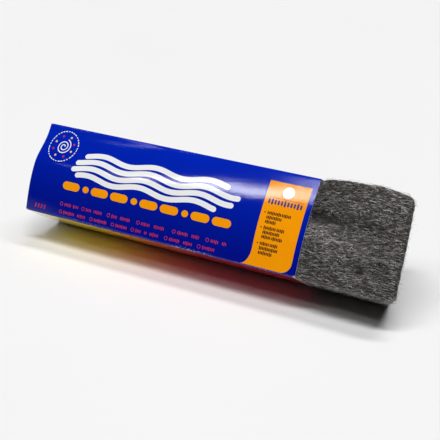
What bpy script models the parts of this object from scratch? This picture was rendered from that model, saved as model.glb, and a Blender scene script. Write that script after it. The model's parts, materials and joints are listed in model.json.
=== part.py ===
"""Pack of steel wool: a folded wool block in a glued band of printed card.

The pack leans back on its lower rear fold, behind which its own weight has pressed a narrow flat foot.
X runs along the band, the printed front panel faces -Y, +Z is up and the floor is at Z = 0. Lengths
are in metres.
"""
import math

import bmesh
import bpy
from mathutils import Vector

# Band of card: a glued tube with four folds, open at both ends.
band_length = 0.243
front_width = 0.075
side_width = 0.0515
front_lean = math.radians(35.0)
under_fall = math.radians(36.3)
top_fall = math.radians(40.0)
foot_width = 0.016
card_thickness = 0.0005

# Folds and bends, as radii of the card's inner face.
fold_radius = 0.0006
back_fold_radius = 0.0015
toe_radius = 0.0020
heel_radius = 0.010

# How far the wool pushes each panel out. The empty left mouth has a fuller, lower belly.
front_bulge_left = 0.0068
front_bulge_right = 0.0042
belly_gather_left = 3.0
belly_gather_right = 1.2
top_bulge = 0.0018
back_bulge = 0.0080
under_bulge = 0.0004

# Glued lap, where the card lies double on the back panel.
lap_setback = 0.010
lap_width = 0.014
lap_ramp = 0.008
lap_edge = 0.0004

# Printed fields: a bright panel near the right end, and bands of colour along the lower side panel.
panel_left = 0.2040
panel_width = 0.0345
panel_height = 0.0662
yellow_band_end = 0.075
amber_band_end = 0.105
red_band_end = 0.150
crimson_band_end = 0.228

# Wool block.
wool_gap = 0.0003
wool_setback = 0.033
wool_reach = 0.0654
wool_swell = 0.0032
wool_edge_radius = 0.0035
wool_end_radius = 0.0065
wool_end_pull = 0.08

# Shape that the bare wool takes towards its tip: squarer, less pressed at the foot, and reaching
# further out at its front than at its back, and at its front fold than at its top fold.
tip_edge_radius = 0.0036
tip_top_fall = math.radians(35.0)
tip_foot_width = 0.006
tip_back_bulge = 0.0020
tip_lead = 0.016
tip_slant = 0.004

# Crease between the two folded layers, the swollen ridge below it, and a pressed spot with its lip,
# all on the wool's bare front.
crease_height = 0.0475
crease_depth = 0.0046
crease_half_width = 0.0050
crease_length = 0.052
crease_fall = 0.05
ridge_height = 0.0375
ridge_rise = 0.0016
ridge_half_width = 0.0050
ridge_ramp = 0.006
ridge_fall = 0.20
spot_height = 0.0165
spot_distance = 0.0460
spot_depth = 0.0030
spot_radius = 0.0045
lip_height = 0.0100
lip_rise = 0.0012

# Lumps of matted fibre all round the bare wool.
lump_rise = 0.0007
lump_spacing = 0.0155
lump_twist = 1.4

# Resolution.
station_spacing = 0.014
bare_station_spacing = 0.0032
front_steps = 15
top_steps = 8
back_steps = 10
foot_steps = 2
under_steps = 8
fold_steps = 3
heel_steps = 5
toe_steps = 2
end_steps = 5

uphill = Vector((math.sin(front_lean), math.cos(front_lean)))
inward = Vector((math.cos(front_lean), -math.sin(front_lean)))


def clear_scene():
    for item in list(bpy.data.objects):
        bpy.data.objects.remove(item, do_unlink=True)


def make_material(name, color, roughness, metallic=0.0):
    material = bpy.data.materials.new(name)
    material.use_nodes = True
    surface = material.node_tree.nodes["Principled BSDF"]
    surface.inputs["Base Color"].default_value = (*color, 1.0)
    surface.inputs["Roughness"].default_value = roughness
    surface.inputs["Metallic"].default_value = metallic
    material.diffuse_color = (*color, 1.0)
    return material


def blend(start, end, share):
    return start + (end - start) * share


def corner_points(bare=0.0):
    """Corners of the section as (y, z), clockwise from the front fold when seen from the right end.

    bare is 0 inside the band and grows to 1 at the wool's bare tip.
    """
    fall = blend(top_fall, tip_top_fall, bare)
    front_fold = Vector((0.0, side_width * math.sin(under_fall)))
    top_fold = front_fold + uphill * front_width
    back_fold = top_fold + Vector((math.cos(fall), -math.sin(fall))) * side_width
    toe = Vector((side_width * math.cos(under_fall), 0.0))
    heel = toe + Vector((blend(foot_width, tip_foot_width, bare), 0.0))
    return {"front_fold": front_fold, "top_fold": top_fold, "back_fold": back_fold, "heel": heel, "toe": toe}


def outward(along):
    """Unit normal on the outer side of a stretch that is followed clockwise."""
    return Vector((-along.y, along.x)).normalized()


def trim_length(before, corner, after, radius):
    """Length that a bend of this radius takes off both panels, limited by the shorter one."""
    first = (before - corner).normalized()
    second = (after - corner).normalized()
    half_angle = math.acos(max(-1.0, min(1.0, first.dot(second)))) / 2
    limit = 0.4 * min((before - corner).length, (after - corner).length)
    return min(radius / math.tan(half_angle), limit)


def panel_points(start, end, trims, bulge, gather, steps):
    """Points of one panel between its bends, pushed outward by a belly that is fullest midway."""
    along = end - start
    points = []
    for step in range(steps + 1):
        travelled = trims[0] + (along.length - trims[0] - trims[1]) * step / steps
        share = travelled / along.length
        belly = math.sin(math.pi * share) ** (gather if share > 0.5 else 1.0)
        points.append(start + along * share + outward(along) * bulge * belly)
    return points


def bend_points(before, corner, after, steps):
    """Points strictly between two panels, on a smooth bend drawn towards the corner."""
    points = []
    for step in range(1, steps):
        share = step / steps
        points.append(before.lerp(corner, share).lerp(corner.lerp(after, share), share))
    return points


def outline(share_right, edge_radius=None, bare=0.0):
    """Outer outline of the pack; share_right is 0 at the band's left end and 1 at its right end.

    Returns the points and, for each, the panel or bend it belongs to. Where edge_radius is given,
    the three folds are as round as soft wool instead of as sharp as creased card.
    """
    corners = corner_points(bare)
    names = list(corners)
    wall = card_thickness
    radii = {"front_fold": fold_radius + wall, "top_fold": fold_radius + wall,
             "back_fold": back_fold_radius + wall, "heel": heel_radius + wall, "toe": toe_radius + wall}
    if edge_radius is not None:
        for fold in ("front_fold", "top_fold", "back_fold"):
            radii[fold] = edge_radius
    gather = blend(belly_gather_left, belly_gather_right, share_right)
    bulges = {"front": blend(front_bulge_left, front_bulge_right, share_right), "top": top_bulge,
              "back": blend(back_bulge, tip_back_bulge, bare), "foot": 0.0, "under": under_bulge}
    trims = {}
    for index, name in enumerate(names):
        before, after = corners[names[index - 1]], corners[names[(index + 1) % len(names)]]
        trims[name] = trim_length(before, corners[name], after, radii[name])
    panel_steps = {"front": front_steps, "top": top_steps, "back": back_steps, "foot": foot_steps,
                   "under": under_steps}
    bend_steps = {"heel": heel_steps, "toe": toe_steps}
    stretches = []
    for index, panel in enumerate(bulges):
        start, end = names[index], names[(index + 1) % len(names)]
        stretches.append(panel_points(corners[start], corners[end], (trims[start], trims[end]),
                                      bulges[panel], gather if panel == "front" else 1.0,
                                      panel_steps[panel]))
    points, places = [], []
    for index, panel in enumerate(bulges):
        bend = bend_points(stretches[index - 1][-1], corners[names[index]], stretches[index][0],
                           bend_steps.get(names[index], fold_steps))
        points += bend + stretches[index]
        places += [names[index]] * len(bend) + [panel] * len(stretches[index])
    return points, places


def offset(points, distances, lift=0.0):
    """The outline moved outward by one distance for each of its points; negative moves it inward.

    lift moves the side that faces up the front panel further out, the opposite side not at all.
    """
    moved = []
    for index, here in enumerate(points):
        first = outward(here - points[index - 1])
        second = outward(points[(index + 1) % len(points)] - here)
        middle = (first + second).normalized()
        distance = distances[index] + lift * (1.0 + middle.dot(uphill)) / 2
        moved.append(here + middle * distance / max(middle.dot(first), 0.5))
    return moved


def lap_points(points):
    """Outline with the double layer on the back panel, whose free edge makes a small step."""
    corners = corner_points()
    down = (corners["heel"] - corners["back_fold"]).normalized()
    across = -outward(down)
    thickness = []
    for point in points:
        reached = (point - corners["back_fold"]).dot(down) - lap_setback
        behind = (point - corners["back_fold"]).dot(across) < side_width / 2
        inside = behind and 0.0 < reached
        rise = max(0.0, 1.0 - max(0.0, reached - lap_width) / lap_ramp)
        thickness.append(card_thickness * rise if inside else 0.0)
    return offset(points, thickness)


def with_lap_edge(points, places):
    """Adds two points to the back panel, either side of the lap's free edge."""
    corners = corner_points()
    down = (corners["heel"] - corners["back_fold"]).normalized()
    added = []
    for index, point in enumerate(points):
        added.append(point)
        following = points[(index + 1) % len(points)]
        if places[index] != "back" or places[(index + 1) % len(points)] != "back":
            continue
        here = (point - corners["back_fold"]).dot(down)
        there = (following - corners["back_fold"]).dot(down)
        for edge in (lap_setback - lap_edge / 2, lap_setback + lap_edge / 2):
            if here < edge < there:
                added.append(point.lerp(following, (edge - here) / (there - here)))
    return added


def ring(points, x):
    return [Vector((x, point.x, point.y)) for point in points]


def loft(name, rings, closed, collection, parent):
    """One closed body through the rings. A closed loft joins its last ring to its first."""
    mesh = bpy.data.meshes.new(name)
    work = bmesh.new()
    loops = [[work.verts.new(point) for point in points] for points in rings]
    pairs = list(zip(loops, loops[1:]))
    if closed:
        pairs.append((loops[-1], loops[0]))
    for near, far in pairs:
        for index in range(len(near)):
            after = (index + 1) % len(near)
            work.faces.new((near[index], near[after], far[after], far[index]))
    if not closed:
        work.faces.new(loops[0])
        work.faces.new(loops[-1])
    bmesh.ops.recalc_face_normals(work, faces=work.faces)
    work.to_mesh(mesh)
    work.free()
    mesh.shade_smooth()
    mesh.set_sharp_from_angle(angle=math.radians(35.0))
    piece = bpy.data.objects.new(name, mesh)
    collection.objects.link(piece)
    piece.parent = parent
    return piece


def spaced(start, end, spacing):
    """Evenly spaced places from start to end, both included, at most spacing apart."""
    count = max(1, math.ceil((end - start) / spacing - 1e-6))
    return [start + (end - start) * index / count for index in range(count + 1)]


def band_stations():
    """Places along the band, with one on each border of a printed field."""
    borders = [0.0, yellow_band_end, amber_band_end, red_band_end, panel_left, crimson_band_end,
               panel_left + panel_width, band_length]
    stations = [0.0]
    for border, following in zip(sorted(borders), sorted(borders)[1:]):
        stations += spaced(border, following, station_spacing)[1:]
    return [station for station in stations if station <= band_length]


def paint_band(band):
    """Gives the card its printed fields by where each outer face lies."""
    front_fold = corner_points()["front_fold"]
    fields = [("yellow", yellow_band_end), ("amber", amber_band_end), ("red", red_band_end),
              ("crimson", crimson_band_end)]
    slots = {}
    for name, color in (("blue", (0.004, 0.022, 0.36)), ("orange", (1.0, 0.30, 0.004)),
                        ("yellow", (0.80, 0.50, 0.03)), ("amber", (0.62, 0.22, 0.02)),
                        ("red", (0.45, 0.06, 0.03)), ("crimson", (0.16, 0.008, 0.03)),
                        ("bare_card", (0.72, 0.70, 0.66))):
        slots[name] = len(band.data.materials)
        band.data.materials.append(make_material("card_" + name, color, 0.28))
    for face in band.data.polygons:
        spot = Vector((face.center.y, face.center.z)) - front_fold
        rise = spot.dot(uphill)
        normal = Vector((face.normal.y, face.normal.z))
        in_panel = panel_left < face.center.x < panel_left + panel_width
        field = "blue"
        if abs(face.normal.x) > 0.9 or normal.dot(spot - uphill * front_width / 2) < 0 and rise > 0:
            field = "bare_card"
        elif normal.dot(inward) < -0.7 and in_panel and 0.0 < rise < panel_height:
            field = "orange"
        elif rise < 0 and normal.dot(uphill) < -0.7 and spot.dot(inward) < side_width:
            field = next((name for name, end in fields if face.center.x < end), "blue")
        face.material_index = slots[field]


def make_band(collection, parent):
    outer, inner = [], []
    for x in band_stations():
        points = with_lap_edge(*outline(x / band_length))
        outer.append(ring(lap_points(points), x))
        inner.append(ring(offset(points, [-card_thickness] * len(points)), x))
    band = loft("card_band", outer + inner[::-1], True, collection, parent)
    paint_band(band)
    return band


def clamp(share):
    return max(0.0, min(1.0, share))


def hump(distance, half_width):
    """Smooth hump that is 1 at its middle and fades out either side."""
    return math.exp(-(distance / half_width) ** 2)


def front_relief(rise, distance):
    """How far the wool's front stands out at a height up the front and a distance from the band."""
    fade = clamp(1.0 - distance / crease_length)
    begun = clamp(1.0 + distance / wool_end_radius)
    below_crease = crease_height - crease_fall * distance - rise
    below_ridge = ridge_height - ridge_fall * distance - rise
    crease = crease_depth * hump(below_crease, crease_half_width) * begun
    ridge = ridge_rise * hump(below_ridge, ridge_half_width) * clamp(distance / ridge_ramp)
    lip = lip_rise * hump(math.hypot(rise - lip_height, distance - spot_distance), spot_radius)
    spot = spot_depth * hump(math.hypot(rise - spot_height, distance - spot_distance), spot_radius)
    return fade * (ridge - crease) + lip - spot


def lump_relief(girth, distance):
    """How far the matted fibre stands out; girth is measured round the block from its front fold."""
    turn = 2 * math.pi / lump_spacing
    drift = lump_twist * math.sin(turn * distance / 2)
    share = clamp(min(distance, wool_reach - distance) / lump_spacing)
    return lump_rise * share * math.sin(turn * girth + drift) * math.cos(turn * distance * 2 / 3 + drift)


def wool_relief(points, distance):
    """How far each point of a section of the block stands out of its plain form."""
    reliefs = []
    for point in points:
        spot = point - corner_points()["front_fold"]
        rise, depth = spot.dot(uphill), spot.dot(inward)
        on_front = depth < side_width / 4
        relief = lump_relief(rise + depth, distance)
        reliefs.append(relief + (front_relief(rise, distance) if on_front else 0.0))
    return reliefs


def wool_ring(x, shrink=0.0):
    """Section of the block at x: squeezed in the band, swollen where it is bare, flat on the floor."""
    distance = x - band_length - wool_gap
    bare = clamp(distance / wool_reach)
    radius = blend(wool_edge_radius, tip_edge_radius, bare)
    points, _ = outline(min(1.0, x / band_length), radius, bare)
    inset = card_thickness + wool_gap
    swell = (wool_swell + inset) * math.sin(math.pi * bare) ** 0.6
    points = offset(points, [relief - inset for relief in wool_relief(points, distance)], swell)
    centre = sum(points, Vector((0.0, 0.0))) / len(points)
    section = []
    for point in points:
        drawn = point.lerp(centre, shrink)
        spot = drawn - corner_points()["front_fold"]
        lead = tip_lead * (0.5 - spot.dot(inward) / side_width)
        slant = tip_slant * (0.5 - spot.dot(uphill) / front_width)
        section.append(Vector((x + bare * (lead + slant), drawn.x, max(drawn.y, 0.0))))
    return section


def rounded_end(x, direction):
    """Rings of a rounded end of the block, from its full section to its small flat tip."""
    rings = []
    for step in range(1, end_steps + 1):
        angle = math.pi / 2 * step / end_steps
        place = x + direction * wool_end_radius * math.sin(angle)
        rings.append(wool_ring(place, wool_end_pull * (1.0 - math.cos(angle))))
    return rings


def make_wool(collection, parent):
    left = wool_setback + wool_end_radius
    mouth = band_length + wool_gap
    right = mouth + wool_reach - wool_end_radius
    stations = spaced(left, band_length - wool_end_radius, station_spacing)
    stations += spaced(band_length - wool_end_radius, mouth, wool_end_radius / 2)[1:]
    stations += spaced(mouth, right, bare_station_spacing)[1:]
    rings = rounded_end(left, -1.0)[::-1] + [wool_ring(x) for x in stations] + rounded_end(right, 1.0)
    wool = loft("steel_wool", rings, False, collection, parent)
    wool.data.materials.append(make_material("steel_wool", (0.11, 0.105, 0.10), 0.55, 0.6))
    return wool


def stand_on_origin(root, pieces):
    """Moves the pack so that the middle of its footprint is over the origin and its foot at Z = 0."""
    corners = [vertex.co for piece in pieces for vertex in piece.data.vertices]
    low = Vector([min(corner[axis] for corner in corners) for axis in range(3)])
    high = Vector([max(corner[axis] for corner in corners) for axis in range(3)])
    root.location = (-(low.x + high.x) / 2, -(low.y + high.y) / 2, -low.z)


def build():
    clear_scene()
    collection = bpy.data.collections.new("steel_wool_pack")
    bpy.context.scene.collection.children.link(collection)
    root = bpy.data.objects.new("pack", None)
    collection.objects.link(root)
    pieces = [make_band(collection, root), make_wool(collection, root)]
    stand_on_origin(root, pieces)


build()
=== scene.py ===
"""Looks of the steel wool pack: printed card band, fibrous wool block, floor, light and camera.

Places on the front panel are given as (along, up): along the band from its left end, and up the
panel from its lower fold. Lengths are in metres, and the print's own lengths are in millimetres.
"""
import json
import math

import bmesh
import bpy
import numpy as np
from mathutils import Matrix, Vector, noise
from mathutils.bvhtree import BVHTree


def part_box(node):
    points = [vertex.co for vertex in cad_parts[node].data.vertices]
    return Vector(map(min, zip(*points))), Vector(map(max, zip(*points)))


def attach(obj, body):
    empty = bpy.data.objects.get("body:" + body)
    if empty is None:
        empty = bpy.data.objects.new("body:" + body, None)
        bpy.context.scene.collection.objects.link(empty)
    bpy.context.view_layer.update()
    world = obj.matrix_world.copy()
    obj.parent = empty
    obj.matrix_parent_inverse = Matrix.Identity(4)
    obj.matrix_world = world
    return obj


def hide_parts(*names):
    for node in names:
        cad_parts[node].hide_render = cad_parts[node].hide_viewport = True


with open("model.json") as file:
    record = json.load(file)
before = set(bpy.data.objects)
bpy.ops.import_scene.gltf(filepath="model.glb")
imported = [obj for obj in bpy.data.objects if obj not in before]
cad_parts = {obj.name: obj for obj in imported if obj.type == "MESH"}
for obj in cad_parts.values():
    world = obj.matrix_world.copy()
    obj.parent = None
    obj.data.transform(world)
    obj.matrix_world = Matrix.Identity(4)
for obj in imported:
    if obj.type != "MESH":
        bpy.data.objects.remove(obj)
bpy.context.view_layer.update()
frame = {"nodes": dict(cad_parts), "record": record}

# Card band, in its own section plane: y to the back and z up, with the front fold at y = 0.
band_length = 0.243
front_width = 0.075
side_width = 0.0515
front_lean = math.radians(35.0)
under_fall = math.radians(36.3)
top_fall = math.radians(40.0)
foot_width = 0.016
card_thickness = 0.0005
fold_radius = 0.0011
back_fold_radius = 0.0020
heel_radius = 0.0105
toe_radius = 0.0025
lap_setback = 0.010
lap_width = 0.014
lap_edge = 0.0006
lap_ramp = 0.008

# How far each plain panel stands out at its middle. The front panel stands out by front_bulges, at
# the left mouth and at the right one. Its upper half is drawn in by belly_gathers, at the left mouth
# and from gather_end of the length on.
panel_bulges = {"top": 0.0018, "back": 0.0080, "foot": 0.0, "under": 0.0004}
front_bulges = (0.0068, 0.0042)
belly_gathers = (3.0, 1.0)
gather_end = 0.55

# How far behind the front fold the record measures the foot, which places the section plane.
foot_mount_setback = 0.0466

# Resolution of the band, and how far its panels wander from their plain form.
station_spacing = 0.0025
panel_steps = {"front": 60, "top": 30, "back": 44, "foot": 4, "under": 30}
bend_steps = {"front_fold": 5, "top_fold": 5, "back_fold": 6, "heel": 8, "toe": 4}
warp_depth = 0.00028
warp_spacing = 0.034
fold_crush = 0.00010
fold_crush_spacing = 0.006
panel_noise_step = 7.3
fold_noise_step = 5.1

# Places where the print is rubbed off a fold: the fold, where along it, how far, and how strongly.
rubs = (
    ("front_fold", 0.155, 0.017, 1.0),
    ("front_fold", 0.060, 0.020, 0.35),
    ("front_fold", 0.215, 0.020, 0.5),
    ("top_fold", 0.130, 0.012, 0.5),
    ("top_fold", 0.030, 0.020, 0.3),
    ("back_fold", 0.100, 0.050, 0.5))
rub_reach = 0.0011

# Chips in the print: the fold, where along it, and half the chip's length and height.
chips = (
    ("top_fold", 0.1301, 0.0009, 0.0006),
    ("front_fold", 0.2424, 0.0012, 0.0010),
    ("front_fold", 0.0006, 0.0008, 0.0007),
    ("top_fold", 0.0005, 0.0007, 0.0007))
chip_edge = 1.6

# What the band's mesh says of each of its points, for its material.
band_marks = ("along", "up", "under", "rub", "chip")

# Print: how far a plate stands off the card, the size of its facets, and how low a shape may reach.
# The panel's slope is taken a slope_step to both sides of a place.
ink_height = 0.00004
ink_cut_up = 0.0012
ink_cut_along = 0.005
ink_lowest = 0.0010
slope_step = 0.0004
mm_per_metre = 1000
cap_angles = (30, 60, 85)
badge_middle = (20.0, 57.5)

# How near points are joined into one, and how near to a cut a point counts as on it.
weld_distance = 1e-6
cut_distance = 1e-7

# Wool: its resolution, and how high and how long and wide each kind of its matted relief is. Inside
# the band its surface sinks by up to hidden_depth instead.
wool_voxel = 0.00125
wool_left = 0.033
wool_floor_gap = 0.0002
lump_height = 0.0005
lump_size = (0.022, 0.012)
rope_height = 0.0006
rope_size = (0.017, 0.0034)
rope_shift = (9.0, 3.0, 5.0)
thread_height = 0.0005
thread_size = (0.010, 0.0019)
hidden_depth = 0.0004

# Painted light on the bare front by its form: the crease and the pressed spot get painted shade,
# and the ridge and the spot's lip get a painted highlight. Lengths are up the front and past the band.
# A fall is how much lower the form runs for each metre past the band.
crease_height = 0.0475
crease_fall = 0.05
crease_reach = 0.0052
ridge_height = 0.0365
ridge_fall = 0.20
ridge_reach = 0.0075
form_fade = 0.060
form_wander = 0.0016
spot_place = (0.0165, 0.0460)
spot_reach = 0.0036
lip_place = (0.0100, 0.0460)
lip_reach = 0.0052

# How much painted shade and painted highlight each point of the wool's meshes gets, for their materials.
painted_wool_lights = ("painted_shade", "painted_highlight")

# Fibres: how many, and their usual form. Wild ones lie across the rest and curl more. A bend is in
# radians for each metre. They start a little inside the right mouth, and go as far into the left one
# as can be seen.
fibre_seed = 7
fibre_steps = 4
fibres_per_piece = 7300
fibre_length = 0.0042
fibre_radius = 0.000092
fibre_sunk = 0.00006
fibre_floor_gap = 0.0001
fibre_heading = math.radians(6.0)
calm_spread = 0.26
calm_bend = 70.0
wild_share = 0.32
wild_spread = 0.9
wild_bend = 200.0
right_mouth_start = 0.002
left_mouth_depth = 0.0075

# Fuzz: how many strays are drawn, and the least and most of their length, height, arch and radius.
fuzz_count = 3000
fuzz_lengths = (0.002, 0.006)
fuzz_heights = (0.0004, 0.0014)
fuzz_arches = (1.7, 3.0)
fuzz_radii = (0.00004, 0.00007)
fuzz_swing = 0.35

# Light: two rows of distant lamps, each a long strip overhead, one in front and one behind. Each has
# the light it gives the floor, the number of its lamps and how wide they look in degrees. Its stops
# give how far to the side a lamp is, its tilt to the front in degrees, and how strong it is.
front_strip = {
    "level": 2.24, "count": 18, "angle": 4.5,
    "stops": ((-0.49, 33.0, 0.12), (-0.44, 34.5, 0.42), (-0.38, 33.0, 0.54), (-0.34, 31.0, 0.42),
              (-0.26, 23.0, 0.70), (-0.18, 20.0, 1.0), (0.35, 9.0, 1.0))}
back_strip = {
    "level": 1.06, "count": 5, "angle": 8.0,
    "stops": ((0.00, -11.0, 1.0), (0.40, -19.0, 1.0))}

# How bright the room looks in gloss, from straight below to straight above, in other light and to
# the camera.
room_glow = ((0.0, 0.95), (0.06, 0.95), (0.14, 0.012), (0.92, 0.012), (0.98, 0.20), (1.0, 0.30))
room_dark = (0.012, 0.012, 0.012, 1.0)
room_backdrop = (0.93, 0.93, 0.93, 1.0)

# Camera, measured from the floor point under the left end of the front fold.
camera_place = Vector((0.4768, -0.5569, 0.3794))
camera_tilt = math.radians(26.66)
camera_turn = math.radians(27.90)
camera_lens = 78.55
sensor_width = 36.0

floor_half = 12.0
floor_height = -0.0001

band_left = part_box("card_band")[0].x
foot_mount = frame["record"]["mounts"][0]["pos_m"]
fold_origin = Vector((band_left, foot_mount[1] - foot_mount_setback, 0.0))
uphill = np.array((math.sin(front_lean), math.cos(front_lean)))
inward = np.array((math.cos(front_lean), -math.sin(front_lean)))
random_draws = np.random.default_rng(fibre_seed)


# Shared helpers


def outward(along):
    """Unit normal on the outer side of a stretch of the section that is followed clockwise."""
    along = np.asarray(along, float)
    return np.array((-along[1], along[0])) / np.linalg.norm(along)


def new_piece(name, points, faces, materials):
    """A smooth mesh piece that rides on the pack, with its points in the shared frame."""
    mesh = bpy.data.meshes.new(name)
    mesh.from_pydata([tuple(point) for point in points], [], [tuple(face) for face in faces])
    piece = bpy.data.objects.new(name, mesh)
    bpy.context.scene.collection.objects.link(piece)
    for material in materials:
        mesh.materials.append(material)
    mesh.shade_smooth()
    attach(piece, "root")
    return piece


def add_layers(mesh, names, values):
    """Gives the mesh's points a named value from each column, for its material."""
    for column, name in enumerate(names):
        layer = mesh.attributes.new(name, "FLOAT", "POINT")
        layer.data.foreach_set("value", values[:, column].astype(np.float32))


def fill_ramp(node, stops):
    """Sets the stops of a colour ramp, each a position and the three numbers of a colour."""
    elements = node.color_ramp.elements
    while len(elements) < len(stops):
        elements.new(0.5)
    for element, (position, color) in zip(elements, stops):
        element.position = position
        element.color = (*color, 1.0)


class Nodes:
    """Short calls for building a material out of nodes."""

    def __init__(self, name):
        self.material = bpy.data.materials.new(name)
        self.material.use_nodes = True
        self.tree = self.material.node_tree
        self.surface = self.tree.nodes["Principled BSDF"]
        self.place = self.add("ShaderNodeTexCoord").outputs["Object"]

    def add(self, kind, **settings):
        node = self.tree.nodes.new(kind)
        for key, value in settings.items():
            setattr(node, key, value)
        return node

    def link(self, source, target):
        self.tree.links.new(source, target)

    def stretched(self, scale):
        """Object coordinates times a scale for each axis."""
        mapping = self.add("ShaderNodeMapping")
        mapping.inputs["Scale"].default_value = scale
        self.link(self.place, mapping.inputs["Vector"])
        return mapping.outputs["Vector"]

    def noise(self, scale, detail=3.0, roughness=0.55, vector=None):
        node = self.add("ShaderNodeTexNoise")
        node.inputs["Scale"].default_value = scale
        node.inputs["Detail"].default_value = detail
        node.inputs["Roughness"].default_value = roughness
        self.link(vector or self.place, node.inputs["Vector"])
        return node.outputs["Fac"]

    def attribute(self, name):
        return self.add("ShaderNodeAttribute", attribute_name=name).outputs["Fac"]

    def span(self, source, low, high, to_low=0.0, to_high=1.0):
        """Turns the stretch from low to high into one from to_low to to_high, and clamps it there."""
        node = self.add("ShaderNodeMapRange")
        limits = {"From Min": low, "From Max": high, "To Min": to_low, "To Max": to_high}
        for key, value in limits.items():
            node.inputs[key].default_value = value
        self.link(source, node.inputs["Value"])
        return node.outputs["Result"]

    def times(self, first, second):
        node = self.add("ShaderNodeMath", operation="MULTIPLY")
        self.link(first, node.inputs[0])
        self.link(second, node.inputs[1])
        return node.outputs["Value"]

    def ramp(self, source, stops):
        node = self.add("ShaderNodeValToRGB")
        fill_ramp(node, stops)
        self.link(source, node.inputs["Fac"])
        return node.outputs["Color"]

    def mix(self, share, first, second):
        """Mixes two colours, each a socket or three numbers."""
        node = self.add("ShaderNodeMix", data_type="RGBA")
        self.link(share, node.inputs["Factor"])
        for name, value in (("A", first), ("B", second)):
            socket = next(entry for entry in node.inputs if entry.name == name and entry.type == "RGBA")
            if isinstance(value, tuple):
                socket.default_value = (*value, 1.0)
            else:
                self.link(value, socket)
        return next(output for output in node.outputs if output.type == "RGBA")

    def bump(self, height, distance, strength):
        node = self.add("ShaderNodeBump")
        node.inputs["Distance"].default_value = distance
        node.inputs["Strength"].default_value = strength
        self.link(height, node.inputs["Height"])
        self.link(node.outputs["Normal"], self.surface.inputs["Normal"])
        return node.outputs["Normal"]

    def set(self, **values):
        for key, value in values.items():
            self.surface.inputs[key.replace("_", " ")].default_value = value


# Materials


def finish_card(nodes):
    """Gloss lacquer over the print, with the faint pebbling that the wool presses into the card."""
    nodes.set(Roughness=0.5, Specular_IOR_Level=0.0)
    nodes.set(Coat_Weight=1.0, Coat_Roughness=0.07, Coat_IOR=1.44)
    pebbled = nodes.bump(nodes.noise(800.0, 2.0), 0.00006, 0.6)
    nodes.link(pebbled, nodes.surface.inputs["Coat Normal"])


def ink(name, color, deeper):
    """Printing ink in two close tones, under the band's lacquer."""
    nodes = Nodes(name)
    color_out = nodes.mix(nodes.span(nodes.noise(45.0, 4.0), 0.35, 0.65), color, deeper)
    nodes.link(color_out, nodes.surface.inputs["Base Color"])
    finish_card(nodes)
    return nodes.material


def band_print():
    """Blue card with coloured fields along the under panel and bare card where the folds are rubbed."""
    nodes = Nodes("band_print")
    blue = nodes.mix(nodes.attribute("up"), (0.0004, 0.0048, 0.24), (0.0002, 0.0210, 0.50))
    clouds = nodes.span(nodes.noise(30.0, 3.0), 0.3, 0.7, 0.0, 0.2)
    blue = nodes.mix(clouds, blue, (0.0004, 0.0065, 0.30))
    along = nodes.attribute("along")
    fields = nodes.ramp(along, (
        (0.00, (0.88, 0.84, 0.66)), (0.10, (0.90, 0.70, 0.06)), (0.26, (0.90, 0.58, 0.03)),
        (0.38, (0.85, 0.30, 0.02)), (0.50, (0.70, 0.10, 0.03)), (0.66, (0.50, 0.02, 0.05)),
        (1.00, (0.32, 0.01, 0.02))))
    color = nodes.mix(nodes.attribute("under"), blue, fields)
    rub = nodes.span(nodes.noise(900.0, 3.0, 0.7), 0.56, 0.60)
    rubbed = nodes.times(nodes.attribute("rub"), rub)
    color = nodes.mix(rubbed, color, (0.80, 0.80, 0.80))
    color = nodes.mix(nodes.attribute("chip"), color, (0.82, 0.82, 0.82))
    nodes.link(color, nodes.surface.inputs["Base Color"])
    finish_card(nodes)
    return nodes.material


def bare_card(name, color, deeper):
    """Dull card without print, with its fibres along the band."""
    nodes = Nodes(name)
    fibre = nodes.noise(1.0, 5.0, 0.7, nodes.stretched((260.0, 900.0, 900.0)))
    color_out = nodes.mix(nodes.span(fibre, 0.35, 0.65), color, deeper)
    nodes.link(color_out, nodes.surface.inputs["Base Color"])
    nodes.set(Roughness=0.82)
    nodes.bump(fibre, 0.00008, 0.5)
    return nodes.material


def wool_material(name, dark, light, roughness, metallic, per_fibre):
    """Matted steel in darker and lighter streaks that run with the fibre, darkened by painted shade and
    lightened by a painted highlight where the points ask for it.
    """
    nodes = Nodes(name)
    streaks = nodes.noise(1.0, 3.0, 0.7, nodes.stretched((190.0, 1100.0, 1100.0)))
    if per_fibre:
        island = nodes.add("ShaderNodeNewGeometry").outputs["Random Per Island"]
        share = nodes.times(nodes.span(island, 0.0, 1.0, 0.05, 1.45), nodes.span(streaks, 0.38, 0.62))
    else:
        share = nodes.span(streaks, 0.40, 0.64)
        strands = nodes.noise(1.0, 5.0, 0.7, nodes.stretched((240.0, 1900.0, 1900.0)))
        nodes.bump(strands, 0.0006, 0.9)
    shade = nodes.mix(share, dark, light)
    # Painted shade for the crease and the pressed spot, and a painted highlight for the ridge and the
    # lip.
    painted_shade_tone = (dark[0] * 0.35, dark[1] * 0.33, dark[2] * 0.33)
    toned = nodes.mix(nodes.attribute("painted_shade"), shade, painted_shade_tone)
    toned = nodes.mix(nodes.attribute("painted_highlight"), toned, light)
    nodes.link(toned, nodes.surface.inputs["Base Color"])
    nodes.set(Roughness=roughness, Metallic=metallic)
    return nodes.material


def floor_material():
    nodes = Nodes("floor_paper")
    clouds = nodes.span(nodes.noise(3.0, 2.0), 0.3, 0.7)
    tone = nodes.mix(clouds, (0.855, 0.855, 0.855), (0.87, 0.87, 0.87))
    nodes.link(tone, nodes.surface.inputs["Base Color"])
    nodes.set(Roughness=0.8, Specular_IOR_Level=0.1)
    return nodes.material


# Card band


def section_corners():
    """The five folds of the section, in the order in which its panels follow each other."""
    front_fold = np.array((0.0, side_width * math.sin(under_fall)))
    top_fold = front_fold + uphill * front_width
    back_fold = top_fold + side_width * np.array((math.cos(top_fall), -math.sin(top_fall)))
    toe = np.array((side_width * math.cos(under_fall), 0.0))
    heel = toe + np.array((foot_width, 0.0))
    return {"front_fold": front_fold, "top_fold": top_fold, "back_fold": back_fold,
            "heel": heel, "toe": toe}


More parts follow.
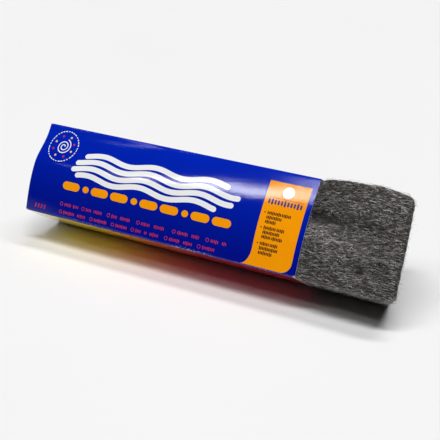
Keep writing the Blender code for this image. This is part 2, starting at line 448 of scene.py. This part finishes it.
corners = section_corners()
corner_radii = {"front_fold": fold_radius, "top_fold": fold_radius, "back_fold": back_fold_radius,
                "heel": heel_radius, "toe": toe_radius}


def trim_length(before, corner, after, radius):
    """How far before and after a corner its bend starts and ends."""
    first, second = before - corner, after - corner
    lengths = np.linalg.norm(first), np.linalg.norm(second)
    half_angle = math.acos(first @ second / (lengths[0] * lengths[1])) / 2
    return min(radius / math.tan(half_angle), 0.4 * min(lengths))


def front_belly(along, share):
    """How far the front panel stands out at each place, given its share of the way up the panel."""
    right = np.clip(np.asarray(along) / band_length, 0.0, 1.0)
    bulge = front_bulges[0] + (front_bulges[1] - front_bulges[0]) * right
    tight, loose = belly_gathers
    gather = tight + (loose - tight) * np.minimum(right / gather_end, 1.0)
    wave = np.sin(np.pi * np.clip(share, 0.0, 1.0))
    return bulge * wave ** np.where(np.asarray(share) > 0.5, gather, 1.0)


def warp(along, up, panel):
    """Slow wander of a panel out of its plain form, none at the folds."""
    place = Vector((along / warp_spacing, up / warp_spacing, panel * panel_noise_step))
    return warp_depth * noise.noise(place)


def panel_line(along, index, panel, start, end, trims):
    """Points of one panel at a station, between the bends at its two folds."""
    length = np.linalg.norm(end - start)
    travelled = np.linspace(trims[0], length - trims[1], panel_steps[panel] + 1)
    share = travelled / length
    wave = np.sin(np.pi * share)
    belly = front_belly(along, share) if panel == "front" else panel_bulges[panel] * wave
    window = wave if panel != "foot" else share * 0.0
    wander = np.array([warp(along, way, index) for way in travelled]) * window
    return start + np.outer(share, end - start) + np.outer(belly + wander, outward(end - start))


def fold_bend(along, index, fold, before, after):
    """Points of the bend at a fold, between the ends of the two panels that meet there."""
    corner = corners[fold]
    crush_place = Vector((along / fold_crush_spacing, index * fold_noise_step, 0.5))
    crush = 0.0 if fold in ("toe", "heel") else fold_crush * noise.noise(crush_place)
    away = corner - (before + after) / 2
    away = away / np.linalg.norm(away)
    bend = []
    for step in range(1, bend_steps[fold]):
        share = step / bend_steps[fold]
        first, second = before + (corner - before) * share, corner + (after - corner) * share
        place = first + (second - first) * share
        bend.append(place + away * crush * math.sin(math.pi * share))
    return bend


def band_ring(along):
    """Outline of the band at one station: points, outward normals and what each point belongs to."""
    folds = list(corners)
    next_folds = folds[1:] + folds[:1]
    trims = {}
    for index, fold in enumerate(folds):
        trims[fold] = trim_length(corners[folds[index - 1]], corners[fold],
                                  corners[next_folds[index]], corner_radii[fold])
    lines = []
    for index, (panel, fold, next_fold) in enumerate(zip(panel_steps, folds, next_folds)):
        lines.append(panel_line(along, index, panel, corners[fold], corners[next_fold],
                                (trims[fold], trims[next_fold])))
    points, kinds = [], []
    for index, (panel, fold) in enumerate(zip(panel_steps, folds)):
        bend = fold_bend(along, index, fold, lines[index - 1][-1], lines[index][0])
        points += bend + list(lines[index])
        kinds += [fold] * len(bend) + [panel] * len(lines[index])
    points = np.array(points)
    before, after = np.roll(points, 1, 0), np.roll(points, -1, 0)
    along_ring = after - before
    normals = np.stack((-along_ring[:, 1], along_ring[:, 0]), 1)
    normals /= np.linalg.norm(normals, axis=1)[:, None]
    return points, normals, kinds


def lap_rise(points, kinds):
    """Height of the double layer near the top of the back panel, one card thick."""
    down = corners["heel"] - corners["back_fold"]
    down = down / np.linalg.norm(down)
    reached = (points - corners["back_fold"]) @ down - lap_setback
    begun = np.clip(reached / lap_edge, 0.0, 1.0)
    ended = np.clip((reached - lap_width) / lap_ramp, 0.0, 1.0)
    on_back = np.array([kind == "back" for kind in kinds])
    return card_thickness * (begun * (1.0 - ended)) * on_back


def row_point(along, flat):
    """A point of the section plane at a station, in the shared frame."""
    return (fold_origin.x + along, fold_origin.y + flat[0], flat[1])


def make_band():
    """The band as one closed mesh: its outside runs to the right and its inside runs back."""
    count = math.ceil(band_length / station_spacing)
    stations = np.linspace(0.0, band_length, count + 1)
    outer, inner, marks = [], [], []
    for along in stations:
        points, normals, kinds = band_ring(along)
        raised = points + normals * lap_rise(points, kinds)[:, None]
        raised[:, 1] = np.maximum(raised[:, 1], 0.0)
        outer.append([row_point(along, flat) for flat in raised])
        inner.append([row_point(along, flat) for flat in points - normals * card_thickness])
        marks.append([mark_card(along, flat, kind) for flat, kind in zip(points, kinds)])
    ring_size = len(outer[0])
    layers = outer + inner[::-1]
    points = [point for layer in layers for point in layer]
    faces, face_slots = [], []
    for level in range(len(layers)):
        following = (level + 1) % len(layers)
        # The material slots are the print, the card's inside and its cut edges.
        slot = 0 if level < count else 1
        if level == count or level == len(layers) - 1:
            slot = 2
        for index in range(ring_size):
            after = (index + 1) % ring_size
            faces.append((level * ring_size + index, level * ring_size + after,
                          following * ring_size + after, following * ring_size + index))
            face_slots.append(slot)
    materials = (band_print(), bare_card("card_inside", (0.66, 0.63, 0.57), (0.58, 0.55, 0.49)),
                 bare_card("card_edge", (0.86, 0.86, 0.85), (0.78, 0.78, 0.77)))
    band = new_piece("printed_band", points, faces, materials)
    mesh = band.data
    mesh.polygons.foreach_set("material_index", face_slots)
    marks = np.array(marks)
    add_layers(mesh, band_marks, np.concatenate((marks, marks[::-1])).reshape(-1, len(band_marks)))
    work = bmesh.new()
    work.from_mesh(mesh)
    bmesh.ops.recalc_face_normals(work, faces=work.faces)
    work.to_mesh(mesh)
    work.free()
    mesh.shade_smooth()
    mesh.set_sharp_from_angle(angle=math.radians(50.0))
    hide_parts("card_band")
    return band


def mark_card(along, flat, kind):
    """Share along the band, share up the front, under panel or not, how rubbed, and how chipped."""
    rub, chip = 0.0, 0.0
    for fold, middle, reach, strength in rubs:
        near = math.exp(-(np.linalg.norm(flat - corners[fold]) / rub_reach) ** 2)
        rub += strength * near * math.exp(-((along - middle) / reach) ** 4)
    for fold, middle, reach, height in chips:
        away = math.hypot((along - middle) / reach, np.linalg.norm(flat - corners[fold]) / height)
        chip = max(chip, min(1.0, max(0.0, chip_edge - away)))
    under = 1.0 if kind in ("under", "toe") else 0.0
    up = min(1.0, max(0.0, float((flat - corners["front_fold"]) @ uphill) / front_width))
    return along / band_length, up, under, min(1.0, rub), chip


def front_place(along, up):
    """Point of the front panel's outer face at a place on the panel."""
    share = up / front_width
    reach = float(front_belly(along, share)) + warp(along, up, 0) * math.sin(math.pi * share)
    flat = corners["front_fold"] + uphill * up - inward * reach
    return np.array(row_point(along, flat))


def front_frame(along, up):
    """Point and outward normal of the front panel's outer face at a place on the panel."""
    here = front_place(along, up)
    rise = front_place(along, up + slope_step) - front_place(along, up - slope_step)
    run = front_place(along + slope_step, up) - front_place(along - slope_step, up)
    normal = np.cross(run, rise)
    return here, normal / np.linalg.norm(normal)


# Print shapes in panel coordinates, in millimetres: each is a list of points and a list of faces


def around(middle, radius, turn):
    """The point at an angle in radians round a middle."""
    return (middle[0] + radius * math.cos(turn), middle[1] + radius * math.sin(turn))


def round_path(middle, radius, turns):
    """Points at many angles round a middle, at one radius or at one for each."""
    return np.stack((middle[0] + radius * np.cos(turns), middle[1] + radius * np.sin(turns)), 1)


def stroke(path, width):
    """A line of the given width along a path, with round ends."""
    path = np.array(path, float)
    ahead = np.gradient(path, axis=0)
    ahead /= np.linalg.norm(ahead, axis=1)[:, None]
    half = width / 2
    rows = []
    for angle in reversed(cap_angles):
        turn = math.radians(angle)
        rows.append((path[0] - ahead[0] * half * math.sin(turn), ahead[0], half * math.cos(turn)))
    rows += [(point, direction, half) for point, direction in zip(path, ahead)]
    for angle in cap_angles:
        turn = math.radians(angle)
        rows.append((path[-1] + ahead[-1] * half * math.sin(turn), ahead[-1], half * math.cos(turn)))
    points, faces = [], []
    for place, direction, reach in rows:
        side = np.array((-direction[1], direction[0])) * reach
        points += [place - side, place + side]
    for index in range(len(rows) - 1):
        faces.append((2 * index, 2 * index + 2, 2 * index + 3, 2 * index + 1))
    return points, faces


def dash(left, up, length, width, slant=0.0):
    """A straight round-ended mark that starts at a place and runs on at a slant in radians."""
    end = (left + length * math.cos(slant), up + length * math.sin(slant))
    return stroke(np.linspace((left, up), end, 4), width)


def disc(middle, radius, sides=28):
    return polygon([around(middle, radius, 2 * math.pi * index / sides) for index in range(sides)])


def arc(middle, radius, start, end, width, steps):
    """A curved mark between two angles in degrees."""
    return stroke(round_path(middle, radius, np.radians(np.linspace(start, end, steps))), width)


def hoop(middle, radius, width, sides=24):
    points, faces = [], []
    for index in range(sides):
        for reach in (radius - width / 2, radius + width / 2):
            points.append(around(middle, reach, 2 * math.pi * index / sides))
    for index in range(sides):
        after = (index + 1) % sides
        faces.append((2 * index, 2 * index + 1, 2 * after + 1, 2 * after))
    return points, faces


def polygon(points):
    return list(points), [tuple(range(len(points)))]


def plates(name, shapes, material, height=ink_height):
    """Print shapes as thin closed plates that follow the curve of the front panel."""
    work = bmesh.new()
    for points, faces in shapes:
        verts = []
        for along, up in points:
            place = (along / mm_per_metre, max(up / mm_per_metre, ink_lowest), 0.0)
            verts.append(work.verts.new(place))
        for face in faces:
            work.faces.new([verts[index] for index in face])
    bmesh.ops.triangulate(work, faces=work.faces)
    for axis, spacing, limit in ((1, ink_cut_up, front_width), (0, ink_cut_along, band_length)):
        direction = Vector((1.0, 0.0, 0.0)) if axis == 0 else Vector((0.0, 1.0, 0.0))
        for index in range(1, int(limit / spacing) + 1):
            geometry = list(work.verts) + list(work.edges) + list(work.faces)
            bmesh.ops.bisect_plane(work, geom=geometry, dist=cut_distance,
                                   plane_co=direction * index * spacing, plane_no=direction)
    bmesh.ops.triangulate(work, faces=work.faces)
    bmesh.ops.dissolve_degenerate(work, dist=weld_distance, edges=work.edges)
    bmesh.ops.recalc_face_normals(work, faces=work.faces)
    work.verts.ensure_lookup_table()
    work.verts.index_update()
    places = [front_frame(vert.co.x, vert.co.y) for vert in work.verts]
    count = len(places)
    points = [here + normal * height for here, normal in places]
    points += [here - normal * height for here, normal in places]
    faces = []
    for face in work.faces:
        loop = [vert.index for vert in face.verts]
        if face.normal.z < 0:
            loop.reverse()
        faces.append(tuple(loop))
        faces.append(tuple(index + count for index in reversed(loop)))
        for first, second in zip(loop, loop[1:] + loop[:1]):
            edge = work.edges.get((work.verts[first], work.verts[second]))
            if len(edge.link_faces) == 1:
                faces.append((second, first, first + count, second + count))
    work.free()
    piece = new_piece(name, points, faces, (material,))
    normals = [normal for _, normal in places] + [-normal for _, normal in places]
    piece.data.normals_split_custom_set_from_vertices([tuple(normal) for normal in normals])
    return piece


def strand_motif():
    """A hank of wavy strands across the upper half of the front panel."""
    ends = ((46.0, 174.0), (40.0, 185.0), (38.0, 181.0), (43.0, 168.0))
    top = 54.2
    pitch = 6.1
    swing = 1.9
    wave_length = 49.0
    wave_shift = 3.0
    width = 4.3
    shapes = []
    for index, (left, right) in enumerate(ends):
        along = np.linspace(left, right, 90)
        turns = 2 * math.pi * (along + wave_shift * index) / wave_length
        up = top - pitch * index + swing * np.sin(turns)
        shapes.append(stroke(np.stack((along, up), 1), width))
    return shapes


def orange_row():
    """A row of rounded bars, with a dot after the first, the third and the fifth."""
    bar = {"length": 9.5, "width": 6.6, "gap": 8.9}
    dot = {"length": 0.6, "width": 5.2, "gap": 8.2}
    up = 26.4
    left = 35.5
    shapes = []
    for index in range(10):
        mark = dot if index % 3 == 1 else bar
        shapes.append(dash(left, up, mark["length"], mark["width"]))
        left += mark["length"] + mark["gap"]
    return shapes


def small_marks(rows, pitch, width, height):
    """Rows of short upright ticks. A row is its place up the panel and its groups, and a group is
    its left end and its number of ticks. One tick in four is taller than the rest."""
    shapes = []
    for up, groups in rows:
        for left, count in groups:
            for index in range(count):
                tall = height * (1.25 if (index * 5 + count) % 4 == 0 else 0.85)
                shapes.append(dash(left + index * pitch, up - tall / 2, tall, width, math.radians(90)))
    return shapes


def red_rows():
    """Two rows of ticks in groups, with small rings between them."""
    upper = [(37.5, 5), (46.0, 4), (58.5, 4), (66.0, 6), (83.0, 4), (91.0, 7), (110.5, 6), (122.0, 7),
             (143.0, 7), (155.5, 5), (172.0, 5), (181.5, 3)]
    lower = [(37.5, 8), (51.0, 6), (67.5, 9), (88.0, 8), (106.5, 4), (114.5, 2), (119.5, 6),
             (137.0, 7), (149.5, 6), (166.0, 8)]
    shapes = small_marks(((11.2, upper), (4.9, lower)), 1.35, 0.70, 1.85)
    rings = ((11.3, (34.2, 55.2, 79.6, 107.2, 139.4, 168.6)),
             (5.0, (34.2, 64.2, 84.6, 103.2, 133.6, 162.6)))
    for up, places in rings:
        shapes += [hoop((along, up), 1.30, 0.40) for along in places]
    return shapes


def weight_marks():
    """Four slanted ticks in the lower left corner."""
    left = 9.0
    pitch = 3.0
    up = 4.2
    return [dash(left + index * pitch, up, 2.6, 1.0, math.radians(80)) for index in range(4)]


def badge():
    """A ring of short arcs of uneven length, round a spiral."""
    ring_radius = 13.4
    ring_width = 0.75
    spiral_start = 0.9
    spiral_growth = 0.42
    spiral_width = 0.85
    shapes = []
    for turn in range(0, 360, 11):
        shapes.append(arc(badge_middle, ring_radius, turn, turn + 3.0 + turn % 4, ring_width, 4))
    turns = np.linspace(0.4, 4.4 * math.pi, 70)
    spiral = round_path(badge_middle, spiral_start + turns * spiral_growth, turns)
    shapes.append(stroke(spiral, spiral_width))
    return shapes


def badge_dots():
    """Eight dots inside the ring, as two lists of every second one."""
    reach = 9.4
    radius = 0.95
    dots = []
    for turn in np.radians((20, 65, 115, 160, 200, 245, 295, 340)):
        dots.append(disc(around(badge_middle, reach, turn), radius, 12))
    return dots[::2], dots[1::2]


def orange_panel():
    """A field at the right end, which flares at its lower left corner and is round at its lower right."""
    top = 66.2
    left = 205.6
    right = 239.0
    flare_start = 14.0
    flare_reach = (7.5, 13.0)
    round_middle = (230.5, 9.2)
    round_radius = 8.2
    flare, rounded = [], []
    for turn in np.radians(np.linspace(0, 90, 10)):
        flare.append((left - flare_reach[0] * (1 - math.cos(turn)),
                      flare_start - flare_reach[1] * math.sin(turn)))
        rounded.append((round_middle[0] + round_radius * math.sin(turn),
                        round_middle[1] - round_radius * math.cos(turn)))
    return [polygon([(left, top)] + flare + rounded + [(right, top)])]


def panel_text():
    """Three blocks of fine ticks, each with a bullet."""
    left_edge = 211.4
    rows = []
    for up, groups in ((41.6, ((0, 9), (11.5, 6))), (38.2, ((0, 10),)), (34.8, ((0, 7),)),
                       (30.2, ((0, 8), (10.5, 5))), (26.8, ((0, 11),)), (23.4, ((0, 6), (8.0, 7))),
                       (18.4, ((0, 6), (8.0, 5))), (15.0, ((0, 12),)), (11.6, ((0, 9),))):
        rows.append((up, [(left_edge + left, count) for left, count in groups]))
    shapes = small_marks(rows, 1.25, 0.85, 1.75)
    return shapes + [disc((208.9, up), 0.55, 10) for up in (41.6, 30.2, 18.4)]


def make_print():
    """All print shapes on the front panel, those on the orange panel one layer higher."""
    white = ink("ink_white", (0.90, 0.90, 0.90), (0.86, 0.87, 0.88))
    orange = ink("ink_orange", (1.0, 0.36, 0.002), (0.98, 0.33, 0.002))
    red = ink("ink_red", (0.62, 0.04, 0.05), (0.55, 0.03, 0.04))
    yellow = ink("ink_yellow", (0.90, 0.62, 0.22), (0.86, 0.56, 0.18))
    blue = ink("ink_blue", (0.004, 0.02, 0.22), (0.004, 0.02, 0.19))
    dark = ink("ink_dark", (0.020, 0.008, 0.008), (0.032, 0.011, 0.009))
    red_dots, yellow_dots = badge_dots()
    plates("print_strands", strand_motif(), white)
    plates("print_orange_row", orange_row(), orange)
    plates("print_red_rows", red_rows(), red)
    plates("print_weight_marks", weight_marks(), red)
    plates("print_badge", badge(), white)
    plates("print_badge_dots_red", red_dots, red)
    plates("print_badge_dots_yellow", yellow_dots, yellow)
    plates("print_panel", orange_panel(), orange)
    above = ink_height * 2
    plates("print_panel_disc", [disc((222.5, 59.2), 4.6)], white, above)
    plates("print_panel_line", [dash(209.4, 53.6, 26.6, 0.4)], red, above)
    plates("print_panel_row", small_marks(((50.4, [(209.6, 11)]),), 2.55, 1.45, 2.7), blue, above)
    plates("print_panel_text", panel_text(), dark, above)


# Steel wool


def measure_wool(point):
    """Place of a wool point: along the band, up the front panel, and in from the front panel."""
    flat = np.array((point[1] - fold_origin.y, point[2])) - corners["front_fold"]
    return point[0] - fold_origin.x, flat @ uphill, flat @ inward


def smooth_step(value, low, high):
    share = min(1.0, max(0.0, (value - low) / (high - low)))
    return share * share * (3 - 2 * share)


def hump(distance, half_width):
    """A smooth rise to 1 where the distance is none."""
    return math.exp(-(distance / half_width) ** 2)


def painted_wool_light(point):
    """How much painted shade and painted highlight the wool gets at a point, each from 0 to 1."""
    along, up, depth = measure_wool(point)
    past = along - band_length
    if depth > side_width / 4 or past < 0.0:
        return 0.0, 0.0
    wander = form_wander * noise.noise(Vector((past / 0.012, 4.0, up / 0.02)))
    fade = max(0.0, 1.0 - past / form_fade)
    painted_shade = fade * hump(up + wander - crease_height + crease_fall * past, crease_reach)
    from_spot = math.hypot(up - spot_place[0], (past - spot_place[1]) * 0.7)
    painted_shade = max(painted_shade, hump(from_spot, spot_reach))
    painted_highlight = fade * hump(up + wander - ridge_height + ridge_fall * past, ridge_reach)
    from_lip = math.hypot((up - lip_place[0]) * 1.6, past - lip_place[1])
    painted_highlight = max(painted_highlight, 0.7 * hump(from_lip, lip_reach))
    return 0.80 * painted_shade, 0.85 * painted_highlight * (1.0 - painted_shade)


def grain_noise(point, size, shift=(0.0, 0.0, 0.0)):
    """Noise whose spots have one size along the band and another across it."""
    along, across = size
    return noise.noise(Vector((point[0] / along, point[1] / across, point[2] / across)) + Vector(shift))


def wool_relief(point):
    """How far a point of the wool stands out of its plain form."""
    along, _, _ = measure_wool(point)
    bare = smooth_step(along, band_length - 0.001, band_length + 0.006)
    hidden = 1.0 - bare
    lumps = grain_noise(point, lump_size)
    ropes = grain_noise(point, rope_size, rope_shift)
    threads = grain_noise(point, thread_size)
    relief = lump_height * lumps + rope_height * ropes + thread_height * threads
    return relief * bare - hidden_depth * hidden * (0.5 + ropes)


def make_wool_block():
    """The CAD block remeshed finely, with its matted relief."""
    source = frame["nodes"]["steel_wool"]
    rough = bpy.data.objects.new("wool_rough", source.data.copy())
    bpy.context.scene.collection.objects.link(rough)
    work = bmesh.new()
    work.from_mesh(rough.data)
    bmesh.ops.remove_doubles(work, verts=work.verts, dist=weld_distance)
    work.to_mesh(rough.data)
    work.free()
    remesh = rough.modifiers.new("remesh", "REMESH")
    remesh.mode = "VOXEL"
    remesh.voxel_size = wool_voxel
    bpy.context.view_layer.update()
    dressed = rough.evaluated_get(bpy.context.evaluated_depsgraph_get())
    mesh = bpy.data.meshes.new_from_object(dressed)
    bpy.data.objects.remove(rough, do_unlink=True)
    mesh.name = "wool_block"
    points = np.array([vertex.co for vertex in mesh.vertices])
    normals = np.array([vertex.normal for vertex in mesh.vertices])
    reliefs = np.array([wool_relief(point) for point in points])
    points += normals * reliefs[:, None]
    points[:, 2] = np.maximum(points[:, 2], wool_floor_gap)
    mesh.vertices.foreach_set("co", points.astype(np.float32).ravel())
    mesh.materials.clear()
    # The block shows between the fibres, and its near-black colour is painted shade for the depth of the
    # mat.
    mesh.materials.append(wool_material("wool_depth", (0.012, 0.011, 0.010), (0.060, 0.056, 0.052),
                                        0.6, 0.5, False))
    mesh.shade_smooth()
    mesh.update()
    # Painted shade and painted highlight of each point, for the block's material.
    add_layers(mesh, painted_wool_lights, np.array([painted_wool_light(point) for point in points]))
    block = bpy.data.objects.new("wool_block", mesh)
    bpy.context.scene.collection.objects.link(block)
    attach(block, "root")
    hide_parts("steel_wool")
    return block


def grain(normal):
    """Direction of the fibre on a surface: along the band, turning round the two ends."""
    axis = np.array((1.0, 0.0, 0.0))
    across = np.array((0.0, *uphill))
    along = axis - normal * (axis @ normal)
    round_end = np.cross(across, normal)
    share = smooth_step(abs(normal[0]), 0.55, 0.85)
    if along @ round_end < 0:
        round_end = -round_end
    mixed = along * (1 - share) + round_end * share
    return mixed / max(np.linalg.norm(mixed), 1e-9)


def wool_seeds(block, count):
    """Random surface points of the wool where it shows, fewer in the left mouth."""
    mesh = block.data
    mesh.calc_loop_triangles()
    points = np.array([vertex.co for vertex in mesh.vertices])
    triangles = np.array([triangle.vertices[:] for triangle in mesh.loop_triangles])
    first, second, third = points[triangles[:, 0]], points[triangles[:, 1]], points[triangles[:, 2]]
    areas = np.linalg.norm(np.cross(second - first, third - first), axis=1) / 2
    along = (first[:, 0] + second[:, 0] + third[:, 0]) / 3 - fold_origin.x
    weight = np.where(along > band_length - right_mouth_start, 1.0, 0.0)
    weight += np.where(along < wool_left + left_mouth_depth, 0.5, 0.0)
    chosen = random_draws.choice(len(triangles), count, p=areas * weight / (areas * weight).sum())
    shares = random_draws.random((count, 2))
    flip = shares.sum(1) > 1
    shares[flip] = 1 - shares[flip]
    return (first[chosen] + (second[chosen] - first[chosen]) * shares[:, :1]
            + (third[chosen] - first[chosen]) * shares[:, 1:])


def lay_fibre(tree, start, length, heading, bend, lift):
    """A fibre's path over the surface, from its middle outwards both ways."""
    halves = []
    for sign in (1, -1):
        place, angle = np.array(start), heading
        half = []
        for _ in range(fibre_steps // 2):
            hit, normal, _, _ = tree.find_nearest(place)
            normal = np.array(normal)
            direction = grain(normal)
            side = np.cross(normal, direction)
            turned = direction * math.cos(angle) + side * math.sin(angle)
            place = np.array(hit) + sign * turned * length / fibre_steps
            hit, normal, _, _ = tree.find_nearest(place)
            half.append((np.array(hit), np.array(normal)))
            place = np.array(hit)
            angle += bend * length / fibre_steps * sign
        halves.append(half)
    hit, normal, _, _ = tree.find_nearest(start)
    path = halves[1][::-1] + [(np.array(hit), np.array(normal))] + halves[0]
    shares = np.linspace(0, 1, len(path))
    rise = lift * np.sin(np.pi * shares) ** 0.5 - fibre_sunk
    return np.array([point + normal * height for (point, normal), height in zip(path, rise)])


def fibre_mesh(name, paths, radii, material):
    """Thin three-sided tubes along the paths, closed at both ends."""
    steps = paths.shape[1]
    ahead = np.gradient(paths, axis=1)
    ahead /= np.linalg.norm(ahead, axis=2)[:, :, None]
    side = np.cross(ahead, np.array((0.31, 0.52, 0.79)))
    side /= np.linalg.norm(side, axis=2)[:, :, None]
    other = np.cross(ahead, side)
    taper = np.ones(steps)
    taper[0] = taper[-1] = 0.4
    reach = radii[:, None, None] * taper[None, :, None]
    rings = []
    for turn in (90, 210, 330):
        cosine, sine = math.cos(math.radians(turn)), math.sin(math.radians(turn))
        rings.append(paths + (side * cosine + other * sine) * reach)
    points = np.stack(rings, 2).reshape(-1, 3)
    points[:, 2] = np.maximum(points[:, 2], fibre_floor_gap)
    tube = []
    for step in range(steps - 1):
        for corner in range(3):
            after = (corner + 1) % 3
            near, far = step * 3, step * 3 + 3
            tube.append((near + corner, near + after, far + after, far + corner))
    quads = np.array(tube)[None] + (np.arange(len(paths)) * steps * 3)[:, None, None]
    faces = [tuple(face) for face in quads.reshape(-1, 4)]
    for index in range(len(paths)):
        base = index * steps * 3
        last = base + (steps - 1) * 3
        faces.append((base + 2, base + 1, base))
        faces.append((last, last + 1, last + 2))
    piece = new_piece(name, points, faces, (material,))
    # Each fibre carries the painted shade and painted highlight found at its middle.
    tones = np.array([painted_wool_light(path[steps // 2]) for path in paths])
    add_layers(piece.data, painted_wool_lights, np.repeat(tones, steps * 3, 0))
    return piece


def make_fibres(block):
    """Three layers of fibres, from dark ones close to the block to bright ones on top as painted shade
    deeper in the mat, and the fuzz.
    """
    mesh = block.data
    tree = BVHTree.FromPolygons([vertex.co[:] for vertex in mesh.vertices],
                                [polygon.vertices[:] for polygon in mesh.polygons])
    # A layer is its name, its dark and its light tone, and how high its fibres rise. The lower layers are
    # painted darker as painted shade.
    layers = (("wool_fibre_low", (0.016, 0.015, 0.014), (0.28, 0.264, 0.256), 0.00015),
              ("wool_fibre_middle", (0.025, 0.024, 0.023), (0.68, 0.645, 0.627), 0.00028),
              ("wool_fibre_top", (0.030, 0.029, 0.028), (1.0, 0.955, 0.93), 0.00042))
    for name, dark, light, highest in layers:
        seeds = wool_seeds(block, fibres_per_piece)
        count = len(seeds)
        lengths = np.clip(random_draws.lognormal(math.log(fibre_length), 0.4, count), 0.0020, 0.010)
        wild = random_draws.random(count) < wild_share
        headings = random_draws.normal(fibre_heading, np.where(wild, wild_spread, calm_spread))
        bends = random_draws.normal(0.0, np.where(wild, wild_bend, calm_bend))
        lifts = random_draws.uniform(fibre_sunk, highest, count)
        radii = np.clip(random_draws.lognormal(math.log(fibre_radius), 0.35, count), 0.00005, 0.00018)
        paths = [lay_fibre(tree, *values) for values in zip(seeds, lengths, headings, bends, lifts)]
        fibre_mesh(name, np.array(paths), radii, wool_material(name, dark, light, 0.36, 0.75, True))
    make_fuzz(tree, wool_seeds(block, fuzz_count))


def make_fuzz(tree, seeds):
    """Stray fibres that stand out of the wool in small curls."""
    paths, radii = [], []
    for seed in seeds:
        hit, normal, _, _ = tree.find_nearest(seed)
        normal = np.array(normal)
        # None grows under the wool or inside the band.
        if abs(normal[2] + 1) < 0.3 or seed[0] < fold_origin.x + band_length:
            continue
        direction = grain(normal) * random_draws.choice((-1, 1))
        side = np.cross(normal, direction)
        length = random_draws.uniform(*fuzz_lengths)
        height = random_draws.uniform(*fuzz_heights)
        swing = random_draws.normal(0.0, fuzz_swing)
        shares = np.linspace(0, 1, fibre_steps + 1)
        path = (np.array(hit) + np.outer(shares * length, direction)
                + np.outer(swing * length * shares ** 2, side)
                + np.outer(height * np.sin(shares * random_draws.uniform(*fuzz_arches)), normal))
        paths.append(path)
        radii.append(random_draws.uniform(*fuzz_radii))
    material = wool_material("wool_fuzz", (0.10, 0.096, 0.092), (0.50, 0.48, 0.47), 0.42, 0.7, True)
    fibre_mesh("wool_fuzz", np.array(paths), np.array(radii), material)


# Floor, light and camera


def make_floor():
    corner_signs = ((-1, -1), (1, -1), (1, 1), (-1, 1))
    points = [(floor_half * across, floor_half * back, floor_height) for across, back in corner_signs]
    mesh = bpy.data.meshes.new("floor")
    mesh.from_pydata(points, [], [(0, 1, 2, 3)])
    floor = bpy.data.objects.new("floor", mesh)
    bpy.context.scene.collection.objects.link(floor)
    mesh.materials.append(floor_material())


def make_lamp(name, towards_light, strength, angle):
    """Distant soft lamp, seen from the pack in the given direction."""
    data = bpy.data.lights.new(name, "SUN")
    data.energy = strength
    data.angle = math.radians(angle)
    lamp = bpy.data.objects.new(name, data)
    lamp.rotation_euler = Vector(towards_light).to_track_quat("Z", "Y").to_euler()
    bpy.context.scene.collection.objects.link(lamp)


def make_strip(name, strip):
    """A row of lamps, evenly spaced across the sky, that together give the floor the strip's level."""
    stops = np.array(strip["stops"])
    sideways = np.linspace(stops[0, 0], stops[-1, 0], strip["count"])
    tilts = np.radians(np.interp(sideways, stops[:, 0], stops[:, 1]))
    weights = np.interp(sideways, stops[:, 0], stops[:, 2])
    heights = np.sqrt(1 - sideways ** 2)
    towards = np.stack((sideways, -heights * np.sin(tilts), heights * np.cos(tilts)), 1)
    strengths = strip["level"] * weights / (weights * towards[:, 2]).sum()
    for index, (direction, strength) in enumerate(zip(towards, strengths)):
        make_lamp(f"{name}_{index + 1}", direction, strength, strip["angle"])


def light_studio():
    """Two strips overhead, and a dim room whose pale walls only the camera and gloss can see."""
    make_strip("front_strip", front_strip)
    make_strip("back_strip", back_strip)
    world = bpy.data.worlds.new("studio")
    bpy.context.scene.world = world
    world.use_nodes = True
    tree = world.node_tree
    place = tree.nodes.new("ShaderNodeTexCoord")
    split = tree.nodes.new("ShaderNodeSeparateXYZ")
    ramp = tree.nodes.new("ShaderNodeValToRGB")
    fill_ramp(ramp, [(position, (level, level, level)) for position, level in room_glow])
    tree.links.new(place.outputs["Generated"], split.inputs["Vector"])
    tree.links.new(split.outputs["Z"], ramp.inputs["Fac"])
    path = tree.nodes.new("ShaderNodeLightPath")
    shiny = tree.nodes.new("ShaderNodeMath")
    shiny.operation = "MAXIMUM"
    tree.links.new(path.outputs["Is Glossy Ray"], shiny.inputs[0])
    tree.links.new(path.outputs["Is Transmission Ray"], shiny.inputs[1])
    seen = room_dark
    for share, color in ((shiny.outputs["Value"], ramp.outputs["Color"]),
                         (path.outputs["Is Camera Ray"], room_backdrop)):
        mix = tree.nodes.new("ShaderNodeMixRGB")
        tree.links.new(share, mix.inputs["Fac"])
        for socket, value in ((mix.inputs["Color1"], seen), (mix.inputs["Color2"], color)):
            if isinstance(value, tuple):
                socket.default_value = value
            else:
                tree.links.new(value, socket)
        seen = mix.outputs["Color"]
    tree.links.new(seen, tree.nodes["Background"].inputs["Color"])


def place_camera():
    data = bpy.data.cameras.new("camera")
    data.lens = camera_lens
    data.sensor_width = sensor_width
    camera = bpy.data.objects.new("camera", data)
    camera.location = fold_origin + camera_place
    camera.rotation_euler = (math.pi / 2 - camera_tilt, 0.0, camera_turn)
    bpy.context.scene.collection.objects.link(camera)
    bpy.context.scene.camera = camera


place_camera()
bpy.context.scene.view_settings.view_transform = "Standard"
make_floor()
light_studio()
make_band()
make_print()
make_fibres(make_wool_block())
